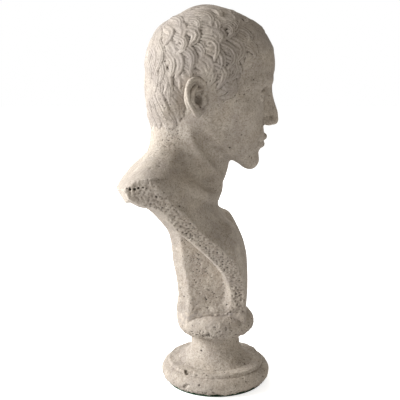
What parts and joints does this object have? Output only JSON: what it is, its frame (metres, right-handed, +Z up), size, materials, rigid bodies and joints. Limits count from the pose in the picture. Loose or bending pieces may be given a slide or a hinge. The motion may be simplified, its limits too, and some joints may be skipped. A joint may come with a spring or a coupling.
{
  "type": "marble bust",
  "caption": "Life-size carved stone bust of a short-haired figure with cut shoulders, a rear strut, a round cushion moulding and a turned waisted socle.",
  "frame": {"origin": "on the socle's vertical axis, in the surface that the felt stands on", "axes": "+Z up; the face looks towards -Y; +X is the bust's own left"},
  "size_m": [0.266, 0.2352, 0.5626],
  "materials": {
    "aged_marble": "weathered matt marble, pitted, with grey dirt in the hollows",
    "setting_mortar": "matt lime mortar",
    "zinc_steel": "zinc plated",
    "green_felt": "pressed felt"
  },
  "bodies": {
    "root": {"bust": "aged_marble", "bust_setting_bed": "setting_mortar", "cushion": "aged_marble", "socle_setting_bed": "setting_mortar", "socle": "aged_marble", "threaded_rod": "zinc_steel", "rod_grout": "setting_mortar", "washer": "zinc_steel", "hex_nut": "zinc_steel", "base_felt": "green_felt"}
  },
  "joints": []
}
